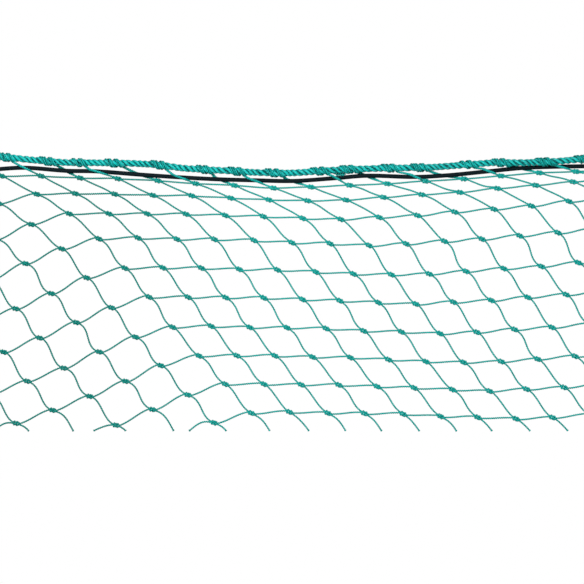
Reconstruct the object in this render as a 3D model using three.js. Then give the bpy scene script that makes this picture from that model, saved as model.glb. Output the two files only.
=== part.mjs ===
import * as THREE from 'three';

// A cut length of knotted netting, laid flat: a green net of 45 mm meshes, hitched along its top edge to a
// laid border rope, with a black elastic cord woven over and under the first bars. Millimetres, +Z up.
// +X runs along the border rope, +Y from the cut edge towards the rope, and the floor is z = 0.

// Driving dimensions, in millimetres, and angles in degrees.
const meshSize = 45;
const cut = { halfLength: 384, bottom: -165.4, margin: 1, stubShare: 0.85 };
const twine = { width: 1.6, low: 1.6, high: 3.2, sag: 1.4 };
const doubled = { width: 2.2, height: 1.6 };
const knot = {
  halfLength: 4.7,
  halfWidth: 3,
  height: 5.2,
  foot: { halfLength: 2.4, halfWidth: 1.6 },
  ridge: { halfLength: 1.3, slant: 0.4 },
};
const portSplay = 25;
const barSplay = 6;
const bends = { aside: [0.5], level: [], down: [0.3, 0.7] };
const rope = { crest: 4, hollow: 3.45, layLength: 20, sides: 6 };
const hitch = { inner: 4.4, outer: 5.5, back: 17, lip: 1, front: 1.5, sides: 8 };
const elastic = { radius: 2.5, sides: 8, steps: 96, lift: 2.15, ends: 12, endDip: 1 };
const clearance = 0.5;
const steepestCrossing = 0.35;
const unevenness = { reach: 0.4, perColumn: 2.4, perRow: 4.1, phaseX: 0, phaseY: 2 };
const foldKnot = { x: -342, y: 136.6 };

// How closely a place along a curve is looked for, as a share of the curve, and a point is held to a plane.
const finest = { share: 1e-9, distance: 0.01 };

// Each column step leads from knot c to knot c + 1: how steeply its bars climb to the right, and how far they
// are pulled out. Columns left of 0 are the part that is drawn aside, past the crease that runs down the net.
const firstColumn = -8;
const columns = [
  { climb: 24, pull: 1 },
  { climb: 24, pull: 1 },
  { climb: 24, pull: 1 },
  { climb: 19, pull: 1.03 },
  { climb: 20.5, pull: 1.02 },
  { climb: 23.5, pull: 1.025 },
  { climb: 23, pull: 1.01 },
  { climb: 15, pull: 1.02 },
  { climb: 0.5, pull: 1.02 },
  { climb: -1, pull: 1.01 },
  { climb: -1, pull: 0.995 },
  { climb: -1.5, pull: 1.02 },
  { climb: -3, pull: 1 },
  { climb: -2.5, pull: 1.005 },
  { climb: -2, pull: 1.005 },
  { climb: 2, pull: 0.99 },
  { climb: 3.5, pull: 0.99 },
  { climb: 4, pull: 0.985 },
  { climb: 4, pull: 1 },
  { climb: 5, pull: 0.985 },
  { climb: 5.5, pull: 0.985 },
  { climb: 5, pull: 0.99 },
  { climb: 4, pull: 0.95 },
  { climb: 0.5, pull: 0.97 },
  { climb: 3, pull: 1 },
];

// Each row: how wide its meshes are spread, how far it leans up to the right, and how steeply and how far its
// bars drop to the next row.
const rows = [
  { spread: 1.007, lean: -1, drop: 27.5, pull: 1.02 },
  { spread: 1.006, lean: 0, drop: 31.5, pull: 1.008 },
  { spread: 1.008, lean: 0.4, drop: 39.5, pull: 1.01 },
  { spread: 1, lean: 0.1, drop: 49, pull: 1.018 },
  { spread: 0.99, lean: 0, drop: 50, pull: 1 },
  { spread: 0.99, lean: 0.1, drop: 51.5, pull: 0.99 },
  { spread: 0.99, lean: 0.1, drop: 48, pull: 1.013 },
  { spread: 0.983, lean: 0, drop: 47, pull: 1.026 },
  { spread: 0.98, lean: 0.1, drop: 47.5, pull: 1.005 },
  { spread: 0.98, lean: 0.2, drop: 48, pull: 1 },
  { spread: 0.98, lean: 0.2, drop: 48, pull: 1 },
];

// The route of the border rope's axis. It lies on its hitches, and is lifted where it rests on the elastic.
const ropeRoute = [
  { x: -396, y: 160.2, z: 5.5 },
  { x: -344, y: 158.9, z: 5.5 },
  { x: -307.5, y: 155.3, z: 5.5 },
  { x: -271, y: 152.5, z: 5.5 },
  { x: -226, y: 151.8, z: 5.5 },
  { x: -179, y: 150.7, z: 5.5 },
  { x: -154, y: 149, z: 5.5 },
  { x: -127, y: 145.5, z: 5.5 },
  { x: -85, y: 142.9, z: 5.5 },
  { x: -40, y: 140.5, z: 5.5 },
  { x: 2.5, y: 140.1, z: 5.51 },
  { x: 48, y: 143.2, z: 5.53 },
  { x: 85, y: 144.9, z: 5.54 },
  { x: 117, y: 145.6, z: 5.6 },
  { x: 159, y: 146.4, z: 5.8 },
  { x: 198, y: 149, z: 7.2 },
  { x: 237, y: 151.7, z: 9 },
  { x: 269, y: 151.7, z: 9.7 },
  { x: 304, y: 153.1, z: 9.4 },
  { x: 340, y: 155.8, z: 7.8 },
  { x: 396, y: 159.6, z: 6.1 },
];

// Each top bar: where it leaves the rope, where it crosses the elastic cord, which face of its hitch it
// leaves by, and whether it passes over or under the cord. Its column is its place in the table.
const topBars = [
  { leaves: -365, crossX: -352, crossY: 144, face: 'lower', over: false },
  { leaves: -327.5, crossX: -318, crossY: 146.2, face: 'side', over: true },
  { leaves: -275.5, crossX: -266, crossY: 142.5, face: 'lower', over: false },
  { leaves: -241.5, crossX: -234, crossY: 142.1, face: 'side', over: true },
  { leaves: -198, crossX: -178, crossY: 137.9, face: 'lower', over: false },
  { leaves: -146, crossX: -133, crossY: 135, face: 'side', over: true },
  { leaves: -93, crossX: -85, crossY: 132.4, face: 'lower', over: false },
  { leaves: -53, crossX: -42.5, crossY: 131.6, face: 'side', over: true },
  { leaves: -9.5, crossX: 0, crossY: 130.5, face: 'lower', over: false },
  { leaves: 42.5, crossX: 51, crossY: 134, face: 'side', over: true },
  { leaves: 78, crossX: 87, crossY: 136.7, face: 'lower', over: false },
  { leaves: 125, crossX: 142.5, crossY: 135.5, face: 'side', over: true },
  { leaves: 161.5, crossX: 180, crossY: 137, face: 'lower', over: false },
  { leaves: 213, crossX: 226, crossY: 141.4, face: 'side', over: true },
  { leaves: 257, crossX: 269, crossY: 145.7, face: 'under', over: false },
  { leaves: 310, crossX: 318, crossY: 147.5, face: 'side', over: true },
  { leaves: 351, crossX: 368, crossY: 148, face: 'lower', over: false },
];
const hitchFaces = { side: 3, lower: 4, under: 5 };

const green = { color: 0x1fa79c, roughness: 0.5, metalness: 0 };
const darkGreen = { color: 0x17968f, roughness: 0.45, metalness: 0 };
const black = { color: 0x15171c, roughness: 0.6, metalness: 0 };

const radians = THREE.MathUtils.degToRad;
const twineMiddle = (twine.low + twine.high) / 2;

// A closed skin of shared points, filled face by face with the corners in turn as seen from outside.
class Skin {
  constructor() {
    this.points = [];
    this.corners = [];
  }

  point(x, y, z) {
    this.points.push(x, y, z);
    return this.points.length / 3 - 1;
  }

  triangle(a, b, c) {
    this.corners.push(a, b, c);
  }

  quad(a, b, c, d) {
    this.triangle(a, b, c);
    this.triangle(a, c, d);
  }

  // Walls between two rings of the same number of points.
  walls(from, to) {
    from.forEach((corner, i) => {
      const next = (i + 1) % from.length;
      this.quad(corner, from[next], to[next], to[i]);
    });
  }

  geometry() {
    const result = new THREE.BufferGeometry();
    result.setAttribute('position', new THREE.Float32BufferAttribute(this.points, 3));
    result.setIndex(this.corners);
    result.computeVertexNormals();
    return result;
  }
}

function columnStep(c) {
  return columns[Math.min(Math.max(c - firstColumn, 0), columns.length - 1)];
}

// The small unevenness of hand-spread netting: the same for a knot each time it is asked for.
function waver(c, j, phase) {
  return unevenness.reach * Math.sin(unevenness.perColumn * c + unevenness.perRow * j + phase);
}

// The knots of one row, worked out to both sides from the crease.
function rowOfKnots(row, j, crease, places) {
  const lastColumn = firstColumn + columns.length;
  const place = (c, x, y) => places.set(`${c},${j}`, {
    x: x + waver(c, j, unevenness.phaseX),
    y: y + waver(c, j, unevenness.phaseY),
    c,
    j,
  });
  let { x, y } = crease;
  place(0, x, y);
  for (let c = 0; c < lastColumn; c += 1) {
    const step = columnStep(c);
    const reach = meshSize * step.pull * row.spread;
    const climb = radians(step.climb + row.lean);
    x += reach * Math.cos(climb);
    y += reach * Math.sin(climb);
    place(c + 1, x, y);
  }
  ({ x, y } = crease);
  for (let c = -1; c >= firstColumn; c -= 1) {
    const step = columnStep(c);
    const reach = meshSize * step.pull;
    x -= reach * Math.cos(radians(step.climb));
    y -= reach * Math.sin(radians(step.climb));
    place(c, x, y);
  }
}

function knotPlaces() {
  const places = new Map();
  let crease = foldKnot;
  rows.forEach((row, index) => {
    rowOfKnots(row, index + 1, crease, places);
    const reach = meshSize * row.pull;
    crease = {
      x: crease.x + reach * Math.cos(radians(row.drop)),
      y: crease.y - reach * Math.sin(radians(row.drop)),
    };
  });
  return places;
}

function isKept({ x, y }) {
  const room = knot.halfLength + cut.margin;
  return Math.abs(x) < cut.halfLength - room && y > cut.bottom + room;
}

// A knot lies along the middle line between its two right-hand bars.
function knotTurn(place, places) {
  const right = places.get(`${place.c + 1},${place.j}`);
  const below = places.get(`${place.c},${place.j + 1}`);
  const toRight = Math.atan2(right.y - place.y, right.x - place.x);
  const toBelow = below ? Math.atan2(below.y - place.y, below.x - place.x) : -radians(rows.at(-1).drop);
  return (toRight + toBelow) / 2;
}

// A raised knot with a flat underside and four open ports, two at each end, where its bars go on.
function addKnot(skin, place, turn) {
  const cos = Math.cos(turn);
  const sin = Math.sin(turn);
  const at = (u, v, z) => skin.point(place.x + u * cos - v * sin, place.y + u * sin + v * cos, z);
  const upright = (u, v) => ({ low: at(u, v, twine.low), high: at(u, v, twine.high) });
  const inset = twine.width * Math.sin(radians(portSplay));
  const side = twine.width * Math.cos(radians(portSplay));
  const end = knot.halfLength;

  const rightLower = upright(end - inset, -side);
  const rightTip = upright(end, 0);
  const rightUpper = upright(end - inset, side);
  const leftUpper = upright(inset - end, side);
  const leftTip = upright(-end, 0);
  const leftLower = upright(inset - end, -side);
  const upperBulge = at(0, knot.halfWidth, twineMiddle);
  const lowerBulge = at(0, -knot.halfWidth, twineMiddle);
  const { ridge } = knot;
  const topLeft = at(-ridge.halfLength, ridge.slant, knot.height);
  const topRight = at(ridge.halfLength, -ridge.slant, knot.height);
  const { halfLength: footLength, halfWidth: footWidth } = knot.foot;
  const foot = [
    at(footLength, footWidth, 0),
    at(-footLength, footWidth, 0),
    at(-footLength, -footWidth, 0),
    at(footLength, -footWidth, 0),
  ];

  const crown = [
    [rightLower.high, rightTip.high, topRight],
    [rightTip.high, rightUpper.high, topRight],
    [rightUpper.high, upperBulge, topRight],
    [upperBulge, topLeft, topRight],
    [upperBulge, leftUpper.high, topLeft],
    [leftUpper.high, leftTip.high, topLeft],
    [leftTip.high, leftLower.high, topLeft],
    [leftLower.high, lowerBulge, topLeft],
    [lowerBulge, topRight, topLeft],
    [lowerBulge, rightLower.high, topRight],
  ];
  const underside = [
    [rightTip.low, rightLower.low, foot[3]],
    [rightTip.low, foot[3], foot[0]],
    [rightUpper.low, rightTip.low, foot[0]],
    [upperBulge, rightUpper.low, foot[0]],
    [upperBulge, foot[0], foot[1]],
    [leftUpper.low, upperBulge, foot[1]],
    [leftTip.low, leftUpper.low, foot[1]],
    [leftTip.low, foot[1], foot[2]],
    [leftLower.low, leftTip.low, foot[2]],
    [lowerBulge, leftLower.low, foot[2]],
    [lowerBulge, foot[2], foot[3]],
    [rightLower.low, lowerBulge, foot[3]],
  ];
  const cheeks = [
    [rightUpper.low, upperBulge, rightUpper.high],
    [upperBulge, leftUpper.low, leftUpper.high],
    [leftLower.low, lowerBulge, leftLower.high],
    [lowerBulge, rightLower.low, rightLower.high],
  ];
  [...crown, ...underside, ...cheeks].forEach((corners) => skin.triangle(...corners));
  skin.quad(foot[0], foot[3], foot[2], foot[1]);

  const port = (a, b, u, v, splay) => ({
    ring: [a.low, b.low, b.high, a.high],
    x: place.x + u * cos - v * sin,
    y: place.y + u * sin + v * cos,
    heading: turn + radians(splay),
  });
  const middle = end - inset / 2;
  return {
    right: port(rightTip, rightUpper, middle, side / 2, barSplay),
    below: port(rightLower, rightTip, middle, -side / 2, -barSplay),
    left: port(leftTip, leftLower, -middle, -side / 2, 180 + barSplay),
    above: port(leftUpper, leftTip, -middle, side / 2, 180 - barSplay),
  };
}

// A port's ring as a bar that arrives there meets it.
function arrivalRing({ ring: [aLow, bLow, bHigh, aHigh] }) {
  return [bLow, aLow, aHigh, bHigh];
}

// The plan curve of a bar: it leaves along one heading and arrives along another, in a gentle S.
function barCurve(from, fromHeading, to, toHeading) {
  const reach = Math.hypot(to.x - from.x, to.y - from.y) / 3;
  return new THREE.CubicBezierCurve(
    new THREE.Vector2(from.x, from.y),
    new THREE.Vector2(from.x + reach * Math.cos(fromHeading), from.y + reach * Math.sin(fromHeading)),
    new THREE.Vector2(to.x - reach * Math.cos(toHeading), to.y - reach * Math.sin(toHeading)),
    new THREE.Vector2(to.x, to.y),
  );
}

// The ring of a bar's four corners: right and left below, then left and right above, looking along the bar.
function barRing(skin, centre, heading, z, width, height) {
  const half = width / 2;
  const sideX = -Math.sin(heading) * half;
  const sideY = Math.cos(heading) * half;
  const low = z - height / 2;
  const high = z + height / 2;
  return [
    skin.point(centre.x - sideX, centre.y - sideY, low),
    skin.point(centre.x + sideX, centre.y + sideY, low),
    skin.point(centre.x + sideX, centre.y + sideY, high),
    skin.point(centre.x - sideX, centre.y - sideY, high),
  ];
}

function sagAt(t) {
  return twineMiddle - twine.sag * Math.sin(Math.PI * t);
}

function ringOnCurve(skin, curve, t) {
  const tangent = curve.getTangent(t);
  const heading = Math.atan2(tangent.y, tangent.x);
  return barRing(skin, curve.getPoint(t), heading, sagAt(t), twine.width, twine.width);
}

function addBar(skin, from, to, inner) {
  const curve = barCurve(from, from.heading, to, to.heading + Math.PI);
  let ring = from.ring;
  inner.forEach((t) => {
    const next = ringOnCurve(skin, curve, t);
    skin.walls(ring, next);
    ring = next;
  });
  skin.walls(ring, arrivalRing(to));
}

function isBeyondCut(point) {
  return Math.abs(point.x) > cut.halfLength || point.y < cut.bottom;
}

// The share of a curve at which something that is false at its start becomes true, found by halving.
function shareWhere(isPast) {
  let before = 0;
  let after = 1;
  while (after - before > finest.share) {
    const share = (before + after) / 2;
    if (isPast(share)) after = share;
    else before = share;
  }
  return after;
}

// How far along its curve a bar meets the cut, or is cut close to a knot that isn't there.
function whereCut(curve) {
  if (!isBeyondCut(curve.getPoint(1))) return cut.stubShare;
  return shareWhere((share) => isBeyondCut(curve.getPoint(share)));
}

// A bar cut off square with the edge that it runs out of.
function addStub(skin, from, towards) {
  const heading = Math.atan2(towards.y - from.y, towards.x - from.x);
  const curve = barCurve(from, from.heading, towards, heading);
  const cutAt = whereCut(curve);
  const end = curve.getPoint(cutAt);
  const tangent = curve.getTangent(cutAt);
  const endHeading = Math.atan2(tangent.y, tangent.x);
  const ring = barRing(skin, end, endHeading, sagAt(cutAt / 2), twine.width, twine.width);
  squareOff(skin, ring, end, tangent);
  skin.walls(from.ring, ring);
  skin.quad(...ring);
}

// Slides an end ring's corners along the bar until they lie in the cut plane.
function squareOff(skin, ring, end, tangent) {
  const atSide = Math.abs(Math.abs(end.x) - cut.halfLength) < finest.distance;
  const atBottom = Math.abs(end.y - cut.bottom) < finest.distance;
  if (!atSide && !atBottom) return;
  ring.forEach((corner) => {
    const x = skin.points[3 * corner];
    const y = skin.points[3 * corner + 1];
    const along = atSide ? (end.x - x) / tangent.x : (end.y - y) / tangent.y;
    const slide = THREE.MathUtils.clamp(along, -2 * twine.width, 2 * twine.width);
    skin.points[3 * corner] = x + slide * tangent.x;
    skin.points[3 * corner + 1] = y + slide * tangent.y;
  });
}

const ropeCurve = new THREE.CatmullRomCurve3(
  ropeRoute.map(({ x, y, z }) => new THREE.Vector3(x, y, z)),
);

// The point and direction of the rope's axis where it passes a given x.
function ropeAt(x) {
  const share = shareWhere((t) => ropeCurve.getPoint(t).x > x);
  return { point: ropeCurve.getPoint(share), tangent: ropeCurve.getTangent(share) };
}

// The turns of a hitch round the rope, as one eight-sided band whose lip is open where the top bar leaves.
function addHitch(skin, bar) {
  const { point: middle, tangent } = ropeAt(bar.leaves - hitch.back / 2);
  const across = new THREE.Vector3(-tangent.y, tangent.x, 0).normalize();
  const up = new THREE.Vector3().crossVectors(tangent, across);
  const band = (station, apothem) => Array.from({ length: hitch.sides }, (_, k) => {
    const angle = Math.PI * (2 * k + 1) / hitch.sides;
    const radius = apothem / Math.cos(Math.PI / hitch.sides);
    const spot = middle.clone()
      .addScaledVector(tangent, station + hitch.back / 2)
      .addScaledVector(across, radius * Math.cos(angle))
      .addScaledVector(up, radius * Math.sin(angle));
    return skin.point(spot.x, spot.y, spot.z);
  });
  const innerBack = band(-hitch.back, hitch.inner);
  const outerBack = band(-hitch.back, hitch.outer);
  const outerLip = band(-hitch.lip, hitch.outer);
  const outerFront = band(hitch.front, hitch.outer);
  const innerFront = band(hitch.front, hitch.inner);
  const open = hitchFaces[bar.face];
  for (let k = 0; k < hitch.sides; k += 1) {
    const next = (k + 1) % hitch.sides;
    skin.quad(outerBack[k], outerBack[next], outerLip[next], outerLip[k]);
    if (k !== open) skin.quad(outerLip[k], outerLip[next], outerFront[next], outerFront[k]);
    skin.quad(outerFront[k], outerFront[next], innerFront[next], innerFront[k]);
    skin.quad(innerFront[k], innerFront[next], innerBack[next], innerBack[k]);
    skin.quad(innerBack[k], innerBack[next], outerBack[next], outerBack[k]);
  }
  return [outerLip[open + 1], outerFront[open + 1], outerFront[open], outerLip[open]];
}

// A doubled bar from its hitch, over or under the elastic cord, to its knot.
function addTopBar(skin, bar, port) {
  const start = addHitch(skin, bar);
  const lifted = 2 * elastic.radius + clearance + doubled.height / 2;
  const z = bar.over ? lifted : doubled.height / 2;
  const crossing = new THREE.Vector2(bar.crossX, bar.crossY);
  const heading = Math.atan2(port.y - bar.crossY, port.x - bar.crossX);
  const reach = elastic.radius / Math.max(Math.sin(-heading), steepestCrossing);
  const before = { x: crossing.x - reach * Math.cos(heading), y: crossing.y - reach * Math.sin(heading) };
  const after = { x: crossing.x + reach * Math.cos(heading), y: crossing.y + reach * Math.sin(heading) };
  const nearRing = barRing(skin, before, heading, z, doubled.width, doubled.height);
  const farRing = barRing(skin, after, heading, z, doubled.width, doubled.height);
  skin.walls(start, nearRing);
  skin.walls(nearRing, farRing);
  skin.walls(farRing, arrivalRing(port));
}

function buildNet() {
  const skin = new Skin();
  const places = knotPlaces();
  const kept = [...places.values()].filter(isKept);
  const ports = new Map(kept.map((place) => [
    `${place.c},${place.j}`,
    addKnot(skin, place, knotTurn(place, places)),
  ]));
  kept.forEach(({ c, j }) => {
    const own = ports.get(`${c},${j}`);
    const rightKey = `${c + 1},${j}`;
    const belowKey = `${c},${j + 1}`;
    const leftKey = `${c - 1},${j}`;
    const aboveKey = `${c},${j - 1}`;
    const level = c < 0 ? bends.aside : bends.level;
    if (ports.has(rightKey)) addBar(skin, own.right, ports.get(rightKey).left, level);
    else addStub(skin, own.right, places.get(rightKey));
    if (ports.has(belowKey)) addBar(skin, own.below, ports.get(belowKey).above, bends.down);
    else addStub(skin, own.below, places.get(belowKey));
    if (!ports.has(leftKey)) addStub(skin, own.left, places.get(leftKey));
    if (j === 1) addTopBar(skin, topBars[c], own.above);
    else if (!ports.has(aboveKey)) addStub(skin, own.above, places.get(aboveKey));
  });
  return skin.geometry();
}

// Three strands laid together: six points round, crest and hollow in turn, that change places at each step.
function buildRope() {
  const skin = new Skin();
  const { sides } = rope;
  const steps = Math.round(2 * cut.halfLength / (rope.layLength / sides));
  const rings = Array.from({ length: steps + 1 }, (_, step) => {
    const x = cut.halfLength * (2 * step / steps - 1);
    const { point } = ropeAt(x);
    return Array.from({ length: sides }, (_unused, k) => {
      const angle = 2 * Math.PI * k / sides;
      const radius = (k + step) % 2 === 0 ? rope.crest : rope.hollow;
      return skin.point(x, point.y + radius * Math.cos(angle), point.z + radius * Math.sin(angle));
    });
  });
  for (let step = 0; step < steps; step += 1) {
    for (let k = 0; k < sides; k += 1) {
      const next = (k + 1) % sides;
      const here = rings[step];
      const there = rings[step + 1];
      skin.quad(there[next], there[k], here[k], here[next]);
    }
  }
  const [first, last] = [rings[0], rings[steps]];
  for (let k = 1; k < sides - 1; k += 1) {
    skin.triangle(first[0], first[k + 1], first[k]);
    skin.triangle(last[0], last[k], last[k + 1]);
  }
  return skin.geometry();
}

// The elastic cord lies on the floor under the bars that pass over it, and is lifted by those under it.
function buildElastic() {
  const height = (bar) => elastic.radius + (bar.over ? 0 : elastic.lift);
  const crossings = topBars.map((bar) => new THREE.Vector3(bar.crossX, bar.crossY, height(bar)));
  const [first, last] = [crossings[0], crossings.at(-1)];
  const route = new THREE.CatmullRomCurve3([
    new THREE.Vector3(-cut.halfLength, first.y - elastic.endDip, elastic.radius),
    new THREE.Vector3(elastic.ends - cut.halfLength, first.y - elastic.endDip, elastic.radius),
    ...crossings,
    new THREE.Vector3(cut.halfLength, last.y, last.z),
  ]);
  const section = new THREE.Shape(
    Array.from({ length: elastic.sides }, (_, k) => {
      const angle = 2 * Math.PI * (k + 0.5) / elastic.sides;
      return new THREE.Vector2(elastic.radius * Math.cos(angle), elastic.radius * Math.sin(angle));
    }),
  );
  const { steps } = elastic;
  return new THREE.ExtrudeGeometry(section, { steps, extrudePath: route, bevelEnabled: false });
}

function piece(name, geometry, finish) {
  const mesh = new THREE.Mesh(geometry, new THREE.MeshStandardMaterial(finish));
  mesh.name = name;
  return mesh;
}

const cargoNet = new THREE.Group();
cargoNet.add(piece('net', buildNet(), green));
cargoNet.add(piece('border_rope', buildRope(), darkGreen));
cargoNet.add(piece('elastic_cord', buildElastic(), black));

export default cargoNet;
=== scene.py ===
"""The looks of a cut length of knotted cargo netting: three-ply twine, hitched to a laid rope."""

import math

import bmesh
import bpy
import numpy as np
from bpy.props import FloatProperty, FloatVectorProperty, PointerProperty
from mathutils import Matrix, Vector


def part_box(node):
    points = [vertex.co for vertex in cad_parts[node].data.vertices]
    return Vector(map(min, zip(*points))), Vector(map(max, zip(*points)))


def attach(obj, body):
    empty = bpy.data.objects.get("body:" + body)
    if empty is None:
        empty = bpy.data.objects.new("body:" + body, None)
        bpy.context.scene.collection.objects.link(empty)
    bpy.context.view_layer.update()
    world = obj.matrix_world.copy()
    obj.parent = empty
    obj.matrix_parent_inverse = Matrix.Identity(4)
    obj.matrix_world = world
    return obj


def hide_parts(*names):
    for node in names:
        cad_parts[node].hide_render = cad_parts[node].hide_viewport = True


bl_info = {
    "name": "Knotted cargo netting",
    "version": (1, 0, 0),
    "blender": (4, 5, 0),
    "location": "3D View > Sidebar > Netting",
    "description": "Builds the twine, hitches, border rope and elastic of a cut length of cargo netting",
    "category": "Add Mesh",
}

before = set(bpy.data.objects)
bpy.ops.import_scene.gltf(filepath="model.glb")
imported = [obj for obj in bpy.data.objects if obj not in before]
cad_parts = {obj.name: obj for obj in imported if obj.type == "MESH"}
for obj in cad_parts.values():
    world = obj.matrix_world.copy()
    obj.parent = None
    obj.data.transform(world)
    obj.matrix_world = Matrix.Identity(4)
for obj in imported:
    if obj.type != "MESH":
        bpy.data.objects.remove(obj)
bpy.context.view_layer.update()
FAR_LEFT, FAR_RIGHT = (corner.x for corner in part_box("border_rope"))
CUT_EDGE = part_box("net")[0].y

MM = 0.001
TURN = 2 * math.pi

# The netting's own measures, in millimetres and degrees, as in the part's source.
MESH_SIZE = 45
KNOT_HALF_LENGTH = 4.7
PORT_REACH, PORT_ASIDE, PORT_SPLAY = 4.36, 0.725, 6
TWINE_LEVEL, TWINE_SAG = 2.4, 1.25
CUT_MARGIN, STUB_SHARE = 1, 0.85
CREASE_KNOT = (-342, 136.6)
FIRST_COLUMN = -8
UNEVEN_REACH, UNEVEN_BY_COLUMN, UNEVEN_BY_ROW, UNEVEN_Y_PHASE = 0.4, 2.4, 4.1, 2

# Each column step: how steeply its bars climb to the right, and how far they are pulled out.
COLUMNS = [
    (24, 1),
    (24, 1),
    (24, 1),
    (19, 1.03),
    (20.5, 1.02),
    (23.5, 1.025),
    (23, 1.01),
    (15, 1.02),
    (0.5, 1.02),
    (-1, 1.01),
    (-1, 0.995),
    (-1.5, 1.02),
    (-3, 1),
    (-2.5, 1.005),
    (-2, 1.005),
    (2, 0.99),
    (3.5, 0.99),
    (4, 0.985),
    (4, 1),
    (5, 0.985),
    (5.5, 0.985),
    (5, 0.99),
    (4, 0.95),
    (0.5, 0.97),
    (3, 1),
]

# Each row: its spread, its lean up to the right, and how steeply and how far its bars drop to the next row.
ROWS = [
    (1.007, -1, 27.5, 1.02),
    (1.006, 0, 31.5, 1.008),
    (1.008, 0.4, 39.5, 1.01),
    (1, 0.1, 49, 1.018),
    (0.99, 0, 50, 1),
    (0.99, 0.1, 51.5, 0.99),
    (0.99, 0.1, 48, 1.013),
    (0.983, 0, 47, 1.026),
    (0.98, 0.1, 47.5, 1.005),
    (0.98, 0.2, 48, 1),
    (0.98, 0.2, 48, 1),
]

# The route of the border rope's axis: x, y, z.
ROPE_ROUTE = [
    (-396, 160.2, 5.5),
    (-344, 158.9, 5.5),
    (-307.5, 155.3, 5.5),
    (-271, 152.5, 5.5),
    (-226, 151.8, 5.5),
    (-179, 150.7, 5.5),
    (-154, 149, 5.5),
    (-127, 145.5, 5.5),
    (-85, 142.9, 5.5),
    (-40, 140.5, 5.5),
    (2.5, 140.1, 5.51),
    (48, 143.2, 5.53),
    (85, 144.9, 5.54),
    (117, 145.6, 5.6),
    (159, 146.4, 5.8),
    (198, 149, 7.2),
    (237, 151.7, 9),
    (269, 151.7, 9.7),
    (304, 153.1, 9.4),
    (340, 155.8, 7.8),
    (396, 159.6, 6.1),
]

# Each top bar, column 0 first: where it leaves the rope, where it crosses the elastic (x, y), whether it
# passes over it, how far round the rope it leaves (degrees from the far side, over the top), and the turns
# of its hitch.
TOP_BARS = [
    (-365, -352, 144, False, 205, 4),
    (-326.5, -315.6, 146.2, True, 168, 5),
    (-275.5, -266, 142.5, False, 205, 5),
    (-241.5, -231.5, 142, True, 168, 4),
    (-198, -178, 137.9, False, 205, 5),
    (-146, -133, 135, True, 168, 5),
    (-93, -85, 132.4, False, 205, 4),
    (-55, -46, 131.5, True, 168, 5),
    (-9.5, 0, 130.5, False, 205, 5),
    (42.5, 51, 134, True, 168, 5),
    (78, 87, 136.7, False, 205, 5),
    (125, 144.5, 135.4, True, 168, 5),
    (161.5, 180, 137, False, 205, 5),
    (215, 230.5, 142, True, 168, 4),
    (257, 269, 145.7, False, 235, 5),
    (306, 313.5, 147.5, True, 168, 5),
    (351, 368, 148, False, 205, 4),
]

# The bight of a weaver's knot, from the bar above round to the bar on the left, and the hook that passes up
# through it, round behind it and under itself, from the right to below: along, aside, height.
BIGHT = [
    (-4.36, 0.725, 2.4),
    (-3.3, 0.9, 2.5),
    (-1.9, 0.95, 2.5),
    (-0.4, 1.45, 2.4),
    (1, 2.05, 2.4),
    (2.3, 1.9, 2.6),
    (3.2, 1.05, 2.9),
    (3.55, 0, 3),
    (3.2, -1.05, 2.9),
    (2.3, -1.9, 2.6),
    (1, -2.05, 2.4),
    (-0.4, -1.45, 2.4),
    (-1.9, -0.95, 2.5),
    (-3.3, -0.9, 2.5),
    (-4.36, -0.725, 2.4),
]
HOOK = [
    (4.36, 0.725, 2.2),
    (3.5, 0.9, 1.3),
    (2.5, 0.85, 1.05),
    (1.5, 0.8, 1.7),
    (0.7, 0.5, 3.2),
    (-0.3, -0.5, 4.2),
    (-1.4, -1.6, 3.9),
    (-2.2, -2.2, 2.6),
    (-2.6, -1.5, 1.2),
    (-2.75, 0, 1.05),
    (-2.6, 1.5, 1.2),
    (-2.2, 2.2, 2.6),
    (-1.5, 1.7, 3.9),
    (-0.6, 0.9, 4.3),
    (0.4, 0, 2.9),
    (1.4, -0.7, 3.3),
    (2.5, -0.85, 4.1),
    (3.5, -0.85, 3.6),
    (4.36, -0.725, 2.6),
]

# The columns of a route: a place, the thickness there as a share of the full one, and the step onwards.
THICK, STEP = 3, 4
BAR_STEP, KNOT_STEP = 1.15, 0.75
KNOT_THICK = 0.95
BAR_SHARES = (0.14, 0.32, 0.5, 0.68, 0.86)

# How far a bar follows the splay of its knots: the level bars little, the dropping ones more. Then the bow
# that all bars have a share of, and the slack of single bars, by the knot that each drops to.
LEVEL_BEND, DROP_BEND = 0.3, 0.75
BOW = 0.7
SLACK = {(11, 2): 1.3, (12, 2): 2}

# The bead of melted twine at a cut end: how far past the end, and how thick.
MELTED_BEAD = ((0.4, 1.25), (0.9, 1.3), (1.2, 0.7))
BEAD_ROOM = 2.4
STUB_POINTS, STUB_STRIDE = 59, 4

# The slanting turns of the hitches round the rope, in millimetres and degrees.
WRAP_RADIUS, WRAP_TUCK = 4.65, 1.7
WRAP_ADVANCE, WRAP_SPACING = 15, 2.5
WRAP_POINT = 30
LAST_TURN, TURN_BEFORE, TURN_AFTER, TURN_LOOSE = 300, 250, 70, 12

# Where a doubled bar passes over (True) or under (False) the elastic: its two twines' places aside and up
# from their middle, and the height of that middle.
DOUBLED = {True: (0.35, 0.55), False: (0.85, 0)}
CROSSING_LEVEL = {True: 6.7, False: 1.15}
STEEPEST_CROSSING = 0.35
ELASTIC_RADIUS, ELASTIC_LIFTED = 2.5, 4.65

# Each small lashing that hangs from the rope: its coil's start and end (x, y, z), its radius and turns.
LASHINGS = [
    ((52, 139, 4.2), (62, 138.8, 3.6), 2.1, 4),
    ((78.5, 141.8, 4.2), (82.5, 141.4, 3.8), 1.4, 2),
]

# The netting is one sheet, made as three meshes of neighbouring twines: the width in metres that each stands
# for, the length of all, and the share of the rectangle that is given as area.
FLAT_WIDTHS = {"netting_left": 0.203, "netting_middle": 0.27, "netting_right": 0.295}
TWINES_TO_A_MESH = 6

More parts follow.
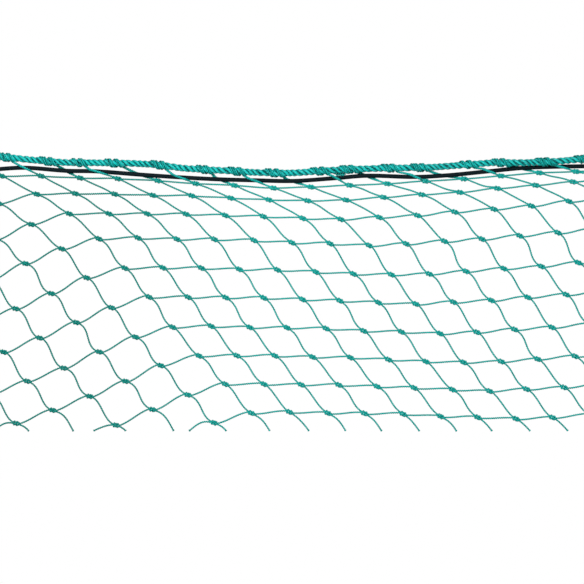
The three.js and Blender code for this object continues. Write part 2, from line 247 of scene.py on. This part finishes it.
TWINE_LOBES = 3
YARNS = 7
ROPE_STEP = 1.2
ELASTIC_STEP, ELASTIC_SIDES = 2.5, 24


class NettingSettings(bpy.types.PropertyGroup):
    """Sizes and colours of the twine."""

    twine_radius: FloatProperty(
        name="Twine radius",
        description="From the middle of the twine to the crest of a ply",
        default=1.2 * MM,
        unit="LENGTH",
    )
    twine_lay: FloatProperty(
        name="Twine lay",
        description="The length in which a ply goes once round",
        default=7.2 * MM,
        unit="LENGTH",
    )
    crest_colour: FloatVectorProperty(
        name="Twine colour",
        description="Colour of the plies' crests",
        default=(0.008, 0.48, 0.43, 1),
        size=4,
        subtype="COLOR",
    )
    # Painted shade: the colour that the grooves between the plies are darkened to.
    groove_shade_colour: FloatVectorProperty(
        name="Groove colour",
        description="Colour between the plies",
        default=(0.001, 0.09, 0.08, 1),
        size=4,
        subtype="COLOR",
    )
    aside_colour: FloatVectorProperty(
        name="Colour of the side drawn aside",
        description="Darker, greener colour of the twine on the left",
        default=(0.004, 0.275, 0.225, 1),
        size=4,
        subtype="COLOR",
    )
    # Painted light: the brighter colour that twine turns to where it is raised onto the rope.
    raised_lit_colour: FloatVectorProperty(
        name="Hitch colour",
        description="Brighter colour of the twine where it goes round the rope",
        default=(0.006, 0.5, 0.46, 1),
        size=4,
        subtype="COLOR",
    )


class RopeSettings(bpy.types.PropertyGroup):
    """Sizes and colours of the border rope."""

    rope_radius: FloatProperty(
        name="Rope radius",
        description="From the rope's axis to the crest of a strand",
        default=4.2 * MM,
        unit="LENGTH",
    )
    rope_lay: FloatProperty(
        name="Rope lay",
        description="The length in which a strand goes once round",
        default=20 * MM,
        unit="LENGTH",
    )
    strand_colour: FloatVectorProperty(
        name="Rope colour",
        description="Colour of the strands",
        default=(0.002, 0.4, 0.37, 1),
        size=4,
        subtype="COLOR",
    )
    shade_colour: FloatVectorProperty(
        name="Rope shade colour",
        description="Colour between the strands and their yarns",
        default=(0.0005, 0.09, 0.09, 1),
        size=4,
        subtype="COLOR",
    )
    glint_colour: FloatVectorProperty(
        name="Glint colour",
        description="Colour of the pale fibres that catch the light",
        default=(0.12, 0.66, 0.62, 1),
        size=4,
        subtype="COLOR",
    )


class ElasticSettings(bpy.types.PropertyGroup):
    """Sizes and colours of the elastic draw cord."""

    elastic_radius: FloatProperty(
        name="Elastic radius",
        description="Radius of the elastic cord over its cover",
        default=2.5 * MM,
        unit="LENGTH",
    )
    cover_colour: FloatVectorProperty(
        name="Cover colour",
        description="Colour of the braided cover",
        default=(0.0005, 0.004, 0.006, 1),
        size=4,
        subtype="COLOR",
    )


class StudioSettings(bpy.types.PropertyGroup):
    """The floor, the light and the camera."""

    floor_colour: FloatVectorProperty(
        name="Floor colour",
        description="Colour that the pale floor glows in",
        default=(1, 1, 1, 1),
        size=4,
        subtype="COLOR",
    )
    lens: FloatProperty(
        name="Lens",
        description="Focal length of the camera, in millimetres",
        default=120,
    )
    frame_width: FloatProperty(
        name="Frame width",
        description="Width of the floor that the camera takes in",
        default=688 * MM,
        unit="LENGTH",
    )


def smooth(points):
    """A centripetal Catmull-Rom curve through the points. Further columns go along."""
    pieces = 12
    p = np.array(points, float)
    p = np.vstack([2 * p[0] - p[1], p, 2 * p[-1] - p[-2]])
    gaps = np.sqrt(np.linalg.norm(np.diff(p[:, :3], axis=0), axis=1))[:, None]
    a, b, c, d = p[:-3], p[1:-2], p[2:-1], p[3:]
    before, here, after = gaps[:-2], gaps[1:-1], gaps[2:]
    leaving = ((b - a) / before - (c - a) / (before + here) + (c - b) / here) * here
    arriving = ((c - b) / here - (d - b) / (here + after) + (d - c) / after) * here
    t = (np.arange(pieces) / pieces)[:, None, None]
    curve = b + leaving * t + (3 * (c - b) - 2 * leaving - arriving) * t**2
    curve = curve + (2 * (b - c) + leaving + arriving) * t**3
    return np.vstack([curve.transpose(1, 0, 2).reshape(-1, p.shape[1]), p[-2]])


def resample(curve, steps):
    """The curve's points, as far apart as steps says at each of them."""
    lengths = np.linalg.norm(np.diff(curve[:, :3], axis=0), axis=1)
    beats = np.concatenate([[0], np.cumsum(lengths / ((steps[1:] + steps[:-1]) / 2))])
    at = np.linspace(0, beats[-1], max(int(round(beats[-1])), 2) + 1)
    return np.column_stack([np.interp(at, beats, column) for column in curve.T])


def uneven(c, j, phase):
    """The small unevenness of netting spread by hand."""
    return UNEVEN_REACH * math.sin(UNEVEN_BY_COLUMN * c + UNEVEN_BY_ROW * j + phase)


def row_of_knots(row, j, crease, places):
    """Adds the places of one row's knots, to both sides of the crease."""
    spread, lean, _, _ = row

    def put(c, x, y):
        places[c, j] = np.array([x + uneven(c, j, 0), y + uneven(c, j, UNEVEN_Y_PHASE)])

    x, y = crease
    put(0, x, y)
    for c in range(FIRST_COLUMN + len(COLUMNS)):
        climb, pull = COLUMNS[c - FIRST_COLUMN]
        x += MESH_SIZE * pull * spread * math.cos(math.radians(climb + lean))
        y += MESH_SIZE * pull * spread * math.sin(math.radians(climb + lean))
        put(c + 1, x, y)
    x, y = crease
    for c in range(-1, FIRST_COLUMN - 1, -1):
        climb, pull = COLUMNS[c - FIRST_COLUMN]
        x -= MESH_SIZE * pull * math.cos(math.radians(climb))
        y -= MESH_SIZE * pull * math.sin(math.radians(climb))
        put(c, x, y)


def knot_places():
    """Where each knot lies, by column and row."""
    places = {}
    x, y = CREASE_KNOT
    for j, row in enumerate(ROWS, start=1):
        row_of_knots(row, j, (x, y), places)
        _, _, drop, pull = row
        x += MESH_SIZE * pull * math.cos(math.radians(drop))
        y -= MESH_SIZE * pull * math.sin(math.radians(drop))
    return places


def is_kept(place):
    """Whether a knot lies inside the cut edges."""
    room = KNOT_HALF_LENGTH + CUT_MARGIN
    return abs(place[0]) < FAR_RIGHT / MM - room and place[1] > CUT_EDGE / MM + room


def heading(a, b):
    """The direction from a to b, seen from above."""
    return math.atan2(b[1] - a[1], b[0] - a[0])


class Knot:
    """A knot's place and turn, and the ports where its four bars go on."""

    ENDS = {"right": (1, 1), "below": (1, -1), "left": (-1, -1), "above": (-1, 1)}

    def __init__(self, c, j, places):
        self.place = places[c, j]
        to_right = heading(self.place, places[c + 1, j])
        drop = -math.radians(ROWS[-1][2])
        to_below = heading(self.place, places[c, j + 1]) if (c, j + 1) in places else drop
        self.turn = (to_right + to_below) / 2

    def at(self, along, aside, height):
        """A point of the knot in the netting's own frame."""
        cos, sin = math.cos(self.turn), math.sin(self.turn)
        x, y = self.place
        return np.array([x + along * cos - aside * sin, y + along * sin + aside * cos, height])

    def port(self, name):
        """The point where a bar leaves the knot."""
        along, aside = self.ENDS[name]
        return self.at(along * PORT_REACH, aside * PORT_ASIDE, TWINE_LEVEL)

    def leaving(self, name):
        """The direction in which a bar leaves the knot, seen from above."""
        along, aside = self.ENDS[name]
        straight = 0 if along > 0 else math.pi
        return self.turn + straight + math.radians(PORT_SPLAY) * along * aside

    def through(self, table):
        """The route of one twine through the knot."""
        return [[*self.at(*point), KNOT_THICK, KNOT_STEP] for point in table]


def bar_curve(start, start_heading, end, end_heading, shares, bend=1, slack=0):
    """Points of a bar that leaves along one heading and arrives along another, and sags to the floor."""
    reach = math.hypot(end[0] - start[0], end[1] - start[1]) / 3
    straight = heading(start, end)
    start_heading = straight + bend * math.remainder(start_heading - straight, TURN)
    end_heading = straight + bend * math.remainder(end_heading - straight, TURN)
    a = np.array(start[:2], float)
    d = np.array(end[:2], float)
    b = a + reach * np.array([math.cos(start_heading), math.sin(start_heading)])
    c = d - reach * np.array([math.cos(end_heading), math.sin(end_heading)])
    route = []
    bow, sway = (BOW * bend**2 * math.sin(0.7 * a[0] + 1.3 * a[1] + k) for k in (0, 2))
    across = np.array([-math.sin(straight), math.cos(straight)])
    for t in shares:
        x, y = a * (1 - t) ** 3 + 3 * b * t * (1 - t) ** 2 + 3 * c * t**2 * (1 - t) + d * t**3
        x, y = (x, y) + across * ((bow + slack) * math.sin(math.pi * t) + sway * math.sin(TURN * t))
        route.append([x, y, TWINE_LEVEL - TWINE_SAG * math.sin(math.pi * t), 1, BAR_STEP])
    return route


def is_beyond(point):
    """Whether a point lies past a cut edge, less the room for a melted bead."""
    return abs(point[0]) > FAR_RIGHT / MM - BEAD_ROOM or point[1] < CUT_EDGE / MM + BEAD_ROOM


def stub(knot, name, missing):
    """The rest of a bar whose next knot was cut away, from the knot outwards, ending in a melted bead."""
    start = knot.port(name)
    towards = heading(start, missing)
    fine = np.linspace(0, 1, STUB_POINTS + 1)[1:]
    route = bar_curve(start, knot.leaving(name), missing, towards, fine)
    inside = [p for p in route if not is_beyond(p)] or route[:1]
    kept = inside if len(inside) < len(route) else route[: int(STUB_SHARE * len(route))]
    kept = kept[:-1:STUB_STRIDE] + [kept[-1]]
    for k, point in enumerate(kept):
        point[2] = TWINE_LEVEL - TWINE_SAG * math.sin(math.pi / 2 * STUB_STRIDE * k / STUB_POINTS)
    x, y, z, _, _ = kept[-1]
    for away, thickness in MELTED_BEAD:
        past = (x + away * math.cos(towards), y + away * math.sin(towards), z)
        kept.append([*past, thickness, KNOT_STEP / 2])
    return kept


class Netting:
    """The knots inside the cut edges, and the twines that run through them."""

    def __init__(self):
        self.places = knot_places()
        kept = [key for key, place in self.places.items() if is_kept(place)]
        self.knots = {key: Knot(*key, self.places) for key in kept}

    def twines(self):
        """Every twine as (its diagonal, its route): a staircase right and up, hook and bight in turn."""
        for (c, j), knot in sorted(self.knots.items()):
            if (c, j + 1) not in self.knots:
                start = stub(knot, "below", self.places[c, j + 1])
                yield c + j, self.staircase(start[::-1], c, j, "hook")
            if (c - 1, j) not in self.knots:
                start = stub(knot, "left", self.places[c - 1, j])
                yield c + j - 1, self.staircase(start[::-1], c, j, "bight")

    def staircase(self, route, c, j, way):
        """Goes on from a cut end through knot after knot to the other cut end, or to the border rope."""
        while True:
            knot = self.knots[c, j]
            if way == "hook":
                route += knot.through(HOOK[::-1])
                name, onward, arrival, following, bend = "right", (c + 1, j), "left", "bight", LEVEL_BEND
            else:
                route += knot.through(BIGHT[::-1])
                name, onward, arrival, following, bend = "above", (c, j - 1), "below", "hook", DROP_BEND
            if onward in self.knots:
                goal = self.knots[onward]
                end = goal.port(arrival)
                arriving = goal.leaving(arrival) + math.pi
                slack = SLACK.get((c, j), 0) if way == "bight" else 0
                leaving = knot.leaving(name)
                route += bar_curve(knot.port(name), leaving, end, arriving, BAR_SHARES, bend, slack)
                (c, j), way = onward, following
            elif j == 1 and name == "above":
                return route + top_bar(c, knot, 1)
            else:
                return route + stub(knot, name, self.places[onward])


class Rope:
    """The border rope's axis, as dense points in millimetres."""

    def __init__(self):
        self.points = smooth(ROPE_ROUTE)

    def at(self, x):
        """The axis point at x, and the directions along the axis, across it and up from it."""
        here, there = (
            np.array([x + d, *(np.interp(x + d, self.points[:, 0], self.points[:, k]) for k in (1, 2))])
            for d in (0, 1)
        )
        along = (there - here) / np.linalg.norm(there - here)
        across = np.array([-along[1], along[0], 0])
        across /= np.linalg.norm(across)
        return here, along, across, np.cross(along, across)

    def around(self, x, degrees, radius):
        """A point beside the rope: 0 degrees is the far side from the netting, 90 the top, 180 the near."""
        middle, _, across, up = self.at(x)
        angle = math.radians(degrees)
        return middle + radius * (math.cos(angle) * across + math.sin(angle) * up)


rope = Rope()


def wrap(x, start, end, ends_free):
    """One slanting turn round the rope, from start to end degrees, arriving at x."""
    route = []
    count = max(3, int((end - start) / WRAP_POINT))
    for k in range(count + 1):
        degrees = start + (end - start) * k / count
        station = x - WRAP_ADVANCE * (end - degrees) / 360
        tucked = k == 0 or (k == count and not ends_free)
        radius = WRAP_RADIUS - (WRAP_TUCK if tucked else 0)
        route.append([*rope.around(station, degrees, radius), KNOT_THICK, BAR_STEP])
    return route


def top_bar(c, knot, side):
    """One of the two twines from a first-row knot, past the elastic, to its turn round the rope."""
    leaves, cross_x, cross_y, over, degrees, _ = TOP_BARS[c]
    port = knot.port("above")
    direction = heading((cross_x, cross_y), port)
    along = np.array([math.cos(direction), math.sin(direction)])
    out, up = DOUBLED[over]
    aside = np.array([-along[1], along[0]]) * out * side
    reach = ELASTIC_RADIUS / max(math.sin(-direction), STEEPEST_CROSSING)
    middle = np.array([cross_x, cross_y])
    level = CROSSING_LEVEL[over] + up * side
    far, near = middle + along * reach, middle - along * reach
    crossing = [[*(place + aside), level, 1, BAR_STEP] for place in (far, middle, near)]
    last_turn = wrap(leaves - WRAP_SPACING * (side < 0), degrees - LAST_TURN, degrees, True)
    return crossing + last_turn[::-1]


def hitch_wraps(c):
    """The other slanting turns of a top bar's hitch."""
    leaves, _, _, _, degrees, wraps = TOP_BARS[c]
    for k in range(2, wraps):
        middle = degrees + TURN_LOOSE * math.sin(5 * c + 3 * k)
        yield wrap(leaves - WRAP_SPACING * k, middle - TURN_BEFORE, middle + TURN_AFTER, False)


def coil(start, end, radius, turns):
    """The route of a loose end that leaves the rope's near side and coils round itself."""
    start, end = np.array(start), np.array(end)
    route = [[*rope.around(start[0] - 5, 150, WRAP_RADIUS - 1), KNOT_THICK, BAR_STEP]]
    for k in range(6 * turns + 1):
        degrees = 120 + 60 * k
        angle = math.radians(degrees)
        middle = start + (end - start) * k / (6 * turns)
        place = middle + radius * np.array([0, math.cos(angle), math.sin(angle)])
        route.append([*place, KNOT_THICK, KNOT_STEP])
    return route


def section(name, radii):
    """A closed outline to sweep along a route. Its points run clockwise, so faces point out."""
    curve = bpy.data.curves.new(name, "CURVE")
    spline = curve.splines.new("POLY")
    spline.points.add(len(radii) - 1)
    for k, (degrees, radius) in enumerate(radii):
        angle = -math.radians(degrees)
        spline.points[k].co = (radius * math.cos(angle), radius * math.sin(angle), 0, 1)
    spline.use_cyclic_u = True
    return bpy.data.objects.new(name, curve)


def lobes(count, crest, flank, spread):
    """The outline of plies or yarns laid side by side: a crest and two flanks for each."""
    pitch = 360 / count
    return [
        (pitch * k + turn, radius)
        for k in range(count)
        for turn, radius in ((0, crest), (spread * pitch, flank), ((1 - spread) * pitch, flank))
    ]


def sweep(outline, routes, lay):
    """One mesh of the outline swept along each route, turned once in each lay, mapped in metres along."""
    curve = bpy.data.curves.new("sweep", "CURVE")
    curve.dimensions = "3D"
    curve.twist_mode = "MINIMUM"
    curve.bevel_mode = "OBJECT"
    curve.bevel_object = outline
    curve.use_fill_caps = True
    sweeper = bpy.data.objects.new("sweep", curve)
    bpy.context.scene.collection.objects.link(sweeper)
    whole = bmesh.new()
    start = 0
    for route in routes:
        lengths = np.linalg.norm(np.diff(route[:, :3], axis=0), axis=1)
        along = np.concatenate([[0], np.cumsum(lengths)])
        curve.splines.clear()
        spline = curve.splines.new("POLY")
        spline.points.add(len(route) - 1)
        places = np.column_stack([route[:, :3], np.ones(len(route))])
        spline.points.foreach_set("co", places.astype(np.float32).ravel())
        spline.points.foreach_set("radius", route[:, THICK].astype(np.float32))
        spline.points.foreach_set("tilt", (start + TURN * along / lay).astype(np.float32))
        bpy.context.view_layer.update()
        graph = bpy.context.evaluated_depsgraph_get()
        swept = bpy.data.meshes.new_from_object(sweeper.evaluated_get(graph))
        corners = swept.uv_layers[0].uv
        places = np.empty(len(corners) * 2, np.float32)
        corners.foreach_get("vector", places)
        places[0::2] *= along[-1]
        places[0::2] += start
        corners.foreach_set("vector", places)
        whole.from_mesh(swept)
        bpy.data.meshes.remove(swept)
        start += 1
    bpy.data.objects.remove(sweeper)
    bpy.data.curves.remove(curve)
    bmesh.ops.remove_doubles(whole, verts=whole.verts, dist=1e-7)
    bmesh.ops.recalc_face_normals(whole, faces=whole.faces)
    mesh = bpy.data.meshes.new("swept")
    whole.to_mesh(mesh)
    whole.free()
    mesh.shade_smooth()
    return mesh


def to_metres(route, radius):
    """A route in millimetres as an evenly spread one in metres that stays clear of the floor."""
    curve = smooth(route)
    even = resample(curve, curve[:, STEP])
    even[:, :3] *= MM
    even[:, 2] = np.maximum(even[:, 2], radius * even[:, THICK])
    return even


def add_piece(context, name, mesh, finish, node):
    """A finished piece that rides on the netting's body, shown in place of its node, which it hides."""
    mesh.name = name
    mesh.materials.append(finish)
    piece = bpy.data.objects.new(name, mesh)
    context.scene.collection.objects.link(piece)
    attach(piece, "root")
    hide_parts(node)
    return piece


class Value:
    """A shader socket on which arithmetic adds Math nodes."""

    def __init__(self, tree, socket):
        self.tree = tree
        self.socket = socket

    def maths(self, operation, *others):
        node = self.tree.nodes.new("ShaderNodeMath")
        node.operation = operation
        for into, source in zip(node.inputs, (self, *others)):
            if isinstance(source, Value):
                self.tree.links.new(source.socket, into)
            else:
                into.default_value = source
        return Value(self.tree, node.outputs[0])

    def __add__(self, other):
        return self.maths("ADD", other)

    __radd__ = __add__

    def __mul__(self, other):
        return self.maths("MULTIPLY", other)

    __rmul__ = __mul__

    def __sub__(self, other):
        return self.maths("SUBTRACT", other)

    def __rsub__(self, other):
        return (self * -1) + other

    def output(self, index):
        """Another output of the node that this one comes from."""
        return Value(self.tree, self.socket.node.outputs[index])


class Finish:
    """A material, and short ways to add nodes to it."""

    def __init__(self, name):
        self.material = bpy.data.materials.new(name)
        self.material.use_nodes = True
        self.tree = self.material.node_tree
        self.shader = self.tree.nodes["Principled BSDF"]

    def node(self, kind, settings=None, output=0, **inputs):
        """Adds a node of a type with its settings, then the values or links of its sockets."""
        node = self.tree.nodes.new("ShaderNode" + kind)
        for key, value in (settings or {}).items():
            setattr(node, key, value)
        for key, value in inputs.items():
            into = node.inputs[int(key[1:]) if key[1:].isdigit() else key.replace("_", " ")]
            self.feed(into, value)
        return Value(self.tree, node.outputs[output])

    def feed(self, into, value):
        """Links a value to a socket, or sets the socket to a number or colour."""
        if isinstance(value, Value):
            self.tree.links.new(value.socket, into)
        else:
            into.default_value = value

    def shine(self, **inputs):
        """Sets or links sockets of the shader."""
        for key, value in inputs.items():
            self.feed(self.shader.inputs[key.replace("_", " ")], value)

    def mix(self, factor, a, b):
        """Two colours mixed by a factor."""
        return self.node("Mix", {"data_type": "RGBA"}, output=2, _0=factor, _6=a, _7=b)

    def ramp(self, value, low, high):
        """0 below low, 1 above high, and smooth between them."""
        settings = {"interpolation_type": "SMOOTHSTEP"}
        return self.node("MapRange", settings, Value=value, From_Min=low, From_Max=high)

    def along_and_round(self):
        """The piece's own map: metres along, and the share of a turn round."""
        uv = self.node("UVMap", {"uv_map": "UVMap"})
        along = self.node("SeparateXYZ", Vector=uv)
        return along, along.output(1)

    def fibres(self, along, turned, length, fineness):
        """Noise in streaks of about a length along the piece, without a seam round it."""
        angle = turned * TURN
        place = self.node(
            "CombineXYZ",
            X=along * (1 / length),
            Y=angle.maths("COSINE") * fineness,
            Z=angle.maths("SINE") * fineness,
        )
        return self.node("TexNoise", {"noise_dimensions": "3D"}, Vector=place, Scale=1.0, Detail=2.0)


def twine_finish(settings, hitched=False):
    """Slightly glossy polyethylene twine: painted shade between its plies, painted pale glints on their
    crests, painted light where it is raised onto the rope, darker on the left.
    """
    finish = Finish("sea_green_hitches" if hitched else "sea_green_twine")
    along, turned = finish.along_and_round()
    crest = (turned * (3 * TURN)).maths("COSINE") * 0.5 + 0.5
    streaks = finish.fibres(along, turned, 1.6 * MM, 3.2)
    across = finish.node("SeparateXYZ", Vector=finish.node("TexCoord", output=3))
    aside = 1 - finish.ramp(across, -0.26, -0.02)
    base = finish.mix(aside, settings.crest_colour, settings.aside_colour)
    # Painted light: the higher the twine over the floor, the more it turns to the brighter colour.
    raised_lit = finish.ramp(across.output(2), 5 * MM, 8 * MM)
    base = finish.mix(raised_lit, base, settings.raised_lit_colour)
    # Painted shade: darker from the plies' crests into the grooves between them, in streaks.
    shade = finish.ramp(crest + (streaks - 0.5) * 0.8, 0.3, 0.85)
    # Painted shade: the hitch's twine darker in the valleys between its turns, nearer the rope's axis.
    if hitched:
        outward = finish.node("Attribute", {"attribute_name": "outward"}, output=2)
        shade = shade * finish.ramp(outward, 0.82, 0.96)
    colour = finish.mix(shade, settings.groove_shade_colour, base)
    # Painted glints: pale streaks on the plies' crests.
    pale = finish.ramp(streaks, 0.62, 0.8) * crest * 0.35
    colour = finish.mix(pale, colour, (0.3, 0.85, 0.78, 1))
    bump = finish.node("Bump", Strength=0.35, Distance=0.12 * MM, Height=streaks)
    finish.shine(Base_Color=colour, Roughness=0.42 - streaks * 0.12 + 0.06, Normal=bump)
    finish.shine(Specular_IOR_Level=0.12)
    return finish.material


def rope_finish(settings):
    """Glossy laid polyethylene rope: painted shade between its strands and yarns, with many small painted
    pale glints.
    """
    finish = Finish("sea_green_rope")
    along, turned = finish.along_and_round()
    crest = (turned * (YARNS * TURN)).maths("COSINE") * 0.5 + 0.5
    streaks = finish.fibres(along, turned, 3.2 * MM, 4.5)
    patches = finish.fibres(along, turned, 5 * MM, 1.8)
    outward = finish.node("Attribute", {"attribute_name": "outward"}, output=2)
    # Painted shade: darker towards the rope's axis between the strands, and between the yarns, broken by
    # patches and streaks.
    groove = finish.ramp(outward, 0.72, 0.96)
    shade = finish.ramp(groove * 0.65 + crest * 0.15 + patches * 0.3 + (streaks - 0.5) * 1.8, 0.2, 0.8)
    colour = finish.mix(shade, settings.shade_colour, settings.strand_colour)
    glint = finish.ramp(streaks * 0.75 + crest * 0.25, 0.6, 0.74) * 0.8
    colour = finish.mix(glint, colour, settings.glint_colour)
    bump = finish.node("Bump", Strength=0.5, Distance=0.25 * MM, Height=streaks)
    finish.shine(Base_Color=colour, Roughness=0.5 - streaks * 0.2, Normal=bump)
    finish.shine(Specular_IOR_Level=0.12)
    return finish.material


def elastic_finish(settings):
    """A finely braided black cover: two families of ribs that cross round the cord, with painted sheen on
    the ribs and in streaky patches.
    """
    finish = Finish("black_braid")
    along, turned = finish.along_and_round()
    carriers, pitch = 12, 9 * MM
    one_way = ((along * (carriers / pitch) + turned * carriers) * TURN).maths("SINE")
    other_way = ((along * (carriers / pitch) - turned * carriers) * TURN).maths("SINE")
    braid = (one_way * other_way) * 0.5 + 0.5
    sheen_patches = finish.fibres(along, turned, 12 * MM, 1.5)
    # Painted sheen: the ribs and streaky patches drawn a little paler.
    pale = braid * 0.35 + sheen_patches * 0.4
    colour = finish.mix(pale, settings.cover_colour, (0.004, 0.012, 0.016, 1))
    bump = finish.node("Bump", Strength=0.5, Distance=0.15 * MM, Height=braid)
    finish.shine(Base_Color=colour, Roughness=0.5 + sheen_patches * 0.15, Normal=bump)
    finish.shine(Specular_IOR_Level=0.06)
    return finish.material


class NETTING_OT_twines(bpy.types.Operator):
    """Knots the netting from its continuous three-ply twines"""

    bl_idname = "netting.twines"
    bl_label = "Netting"

    def execute(self, context):
        settings = context.scene.cargo_netting
        finish = twine_finish(settings)
        radius = settings.twine_radius
        outline = section("twine", lobes(TWINE_LOBES, radius, 0.66 * radius, 0.36))
        thirds = [], [], []
        netting = Netting()
        for diagonal, route in netting.twines():
            third = min(max(diagonal // TWINES_TO_A_MESH, 0), 2)
            thirds[third].append(to_metres(route, radius))
        for (name, width), routes in zip(FLAT_WIDTHS.items(), thirds):
            mesh = sweep(outline, routes, settings.twine_lay)
            piece = add_piece(context, name, mesh, finish, "net")
        hitches = []
        for c in range(len(TOP_BARS)):
            knot = netting.knots[c, 1]
            second = knot.through(BIGHT[4:0:-1]) + top_bar(c, knot, -1)
            hitches.append(to_metres(second, radius))
            hitches.extend(to_metres(route, radius) for route in hitch_wraps(c))
        hitches.extend(to_metres(coil(*lashing), radius) for lashing in LASHINGS)
        mesh = sweep(outline, hitches, settings.twine_lay)
        mark_depth(mesh, WRAP_RADIUS * MM + radius)
        add_piece(context, "hitches", mesh, twine_finish(settings, hitched=True), "net")
        return {"FINISHED"}


def mark_depth(mesh, radius):
    """Notes how far out from the rope's axis each point lies, as a share of its radius."""
    places = np.empty(len(mesh.vertices) * 3, np.float32)
    mesh.vertices.foreach_get("co", places)
    x, y, z = places.reshape(-1, 3).T / MM
    axis = rope.points
    out = np.hypot(y - np.interp(x, axis[:, 0], axis[:, 1]), z - np.interp(x, axis[:, 0], axis[:, 2]))
    depth = mesh.attributes.new("outward", "FLOAT", "POINT")
    depth.data.foreach_set("value", (out * MM / radius).astype(np.float32))


class NETTING_OT_border_rope(bpy.types.Operator):
    """Lays the border rope from three strands"""

    bl_idname = "netting.border_rope"
    bl_label = "Border rope"

    def execute(self, context):
        settings = context.scene.cargo_rope
        strand = settings.rope_radius / (1 + 2 / math.sqrt(3))
        away = settings.rope_radius - strand
        outline = section("strand", lobes(YARNS, strand * 1.02, strand * 0.93, 0.33))
        stations = np.arange(FAR_LEFT / MM, FAR_RIGHT / MM + 0.01, ROPE_STEP)
        routes = []
        for k in range(3):
            route = []
            for x in stations:
                loose = 14 * math.sin(0.11 * x) + 10 * math.sin(0.29 * x + 1)
                loose += 8 * math.sin(0.17 * x + 2 * k)
                degrees = 360 * (x * MM / settings.rope_lay + k / 3) + loose
                place = rope.around(x, degrees, away / MM)
                route.append([*(place * MM), 1 + 0.06 * math.sin(0.37 * x + 2 * k), 1])
            routes.append(np.array(route))
        mesh = sweep(outline, routes, -settings.rope_lay)
        mark_depth(mesh, settings.rope_radius)
        add_piece(context, "border_rope_strands", mesh, rope_finish(settings), "border_rope")
        return {"FINISHED"}


class NETTING_OT_elastic(bpy.types.Operator):
    """Weaves the elastic cord over and under the first bars"""

    bl_idname = "netting.elastic"
    bl_label = "Elastic draw cord"

    def execute(self, context):
        settings = context.scene.cargo_elastic
        level = settings.elastic_radius / MM
        crossings = [(x, y, level if over else ELASTIC_LIFTED) for _, x, y, over, _, _ in TOP_BARS]
        start_y = crossings[0][1] - 1
        left, right = FAR_LEFT / MM, FAR_RIGHT / MM
        route = [(left, start_y, level), (left + 12, start_y, level), *crossings]
        route.append((right, crossings[-1][1], crossings[-1][2]))
        even = to_metres([[*point, 1, ELASTIC_STEP] for point in route], settings.elastic_radius)
        pitch = 360 / ELASTIC_SIDES
        outline = section("elastic", [(pitch * k, settings.elastic_radius) for k in range(ELASTIC_SIDES)])
        mesh = sweep(outline, [even], 1.0)
        finish = elastic_finish(settings)
        add_piece(context, "elastic_draw_cord", mesh, finish, "elastic_cord")
        return {"FINISHED"}


class NETTING_OT_studio(bpy.types.Operator):
    """Sets up the floor, the light and the camera"""

    bl_idname = "netting.studio"
    bl_label = "Floor, light and camera"

    def execute(self, context):
        settings = context.scene.cargo_studio
        scene = context.scene
        scene.view_settings.view_transform = "Standard"
        floor_finish = Finish("pale_floor")
        floor_finish.shine(Base_Color=(0, 0, 0, 1), Roughness=1.0, Specular_IOR_Level=0.0)
        floor_finish.shine(Emission_Color=settings.floor_colour, Emission_Strength=1.0)
        bm = bmesh.new()
        bmesh.ops.create_grid(bm, x_segments=1, y_segments=1, size=4)
        mesh = bpy.data.meshes.new("floor")
        bm.to_mesh(mesh)
        bm.free()
        mesh.materials.append(floor_finish.material)
        floor = bpy.data.objects.new("floor", mesh)
        scene.collection.objects.link(floor)
        floor.visible_diffuse = False
        floor.visible_glossy = False

        scene.world = bpy.data.worlds.new("studio")
        scene.world.use_nodes = True
        scene.world.node_tree.nodes["Background"].inputs["Color"].default_value = (1, 1, 1, 1)
        scene.world.node_tree.nodes["Background"].inputs["Strength"].default_value = 0.3

        for name, place, size, watts in (
            ("key", (-0.6, 0.7, 1.8), 0.6, 48),
            ("fill", (0.9, -0.9, 1.5), 1.0, 10),
        ):
            lamp = bpy.data.lights.new(name, "AREA")
            lamp.size = size
            lamp.energy = watts
            lamp_object = bpy.data.objects.new(name, lamp)
            lamp_object.location = place
            lamp_object.rotation_euler = (-Vector(place)).to_track_quat("-Z", "Y").to_euler()
            scene.collection.objects.link(lamp_object)

        lens = bpy.data.cameras.new("camera")
        lens.lens = settings.lens
        lens.sensor_width = 36
        camera = bpy.data.objects.new("camera", lens)
        camera.location = (-0.55 * MM, 0, settings.frame_width * settings.lens / lens.sensor_width)
        scene.collection.objects.link(camera)
        scene.camera = camera
        return {"FINISHED"}


class NETTING_PT_panel(bpy.types.Panel):
    """Shows the buttons that build the pieces, and their settings."""

    bl_idname = "NETTING_PT_panel"
    bl_label = "Knotted cargo netting"
    bl_space_type = "VIEW_3D"
    bl_region_type = "UI"
    bl_category = "Netting"

    def draw(self, context):
        for operator in OPERATORS:
            self.layout.operator(operator.bl_idname)
        for group in SETTINGS:
            box = self.layout.box()
            values = getattr(context.scene, group)
            for name in values.bl_rna.properties.keys():
                if name not in ("rna_type", "name"):
                    box.prop(values, name)


SETTINGS = {
    "cargo_netting": NettingSettings,
    "cargo_rope": RopeSettings,
    "cargo_elastic": ElasticSettings,
    "cargo_studio": StudioSettings,
}
OPERATORS = (NETTING_OT_studio, NETTING_OT_twines, NETTING_OT_border_rope, NETTING_OT_elastic)


def register():
    for settings in SETTINGS.values():
        bpy.utils.register_class(settings)
    for name, settings in SETTINGS.items():
        setattr(bpy.types.Scene, name, PointerProperty(type=settings))
    for operator in OPERATORS:
        bpy.utils.register_class(operator)
    bpy.utils.register_class(NETTING_PT_panel)


def unregister():
    bpy.utils.unregister_class(NETTING_PT_panel)
    for operator in reversed(OPERATORS):
        bpy.utils.unregister_class(operator)
    for name, settings in reversed(list(SETTINGS.items())):
        delattr(bpy.types.Scene, name)
        bpy.utils.unregister_class(settings)


def main():
    register()
    bpy.ops.netting.studio()
    bpy.ops.netting.twines()
    bpy.ops.netting.border_rope()
    bpy.ops.netting.elastic()


if __name__ == "__main__":
    main()
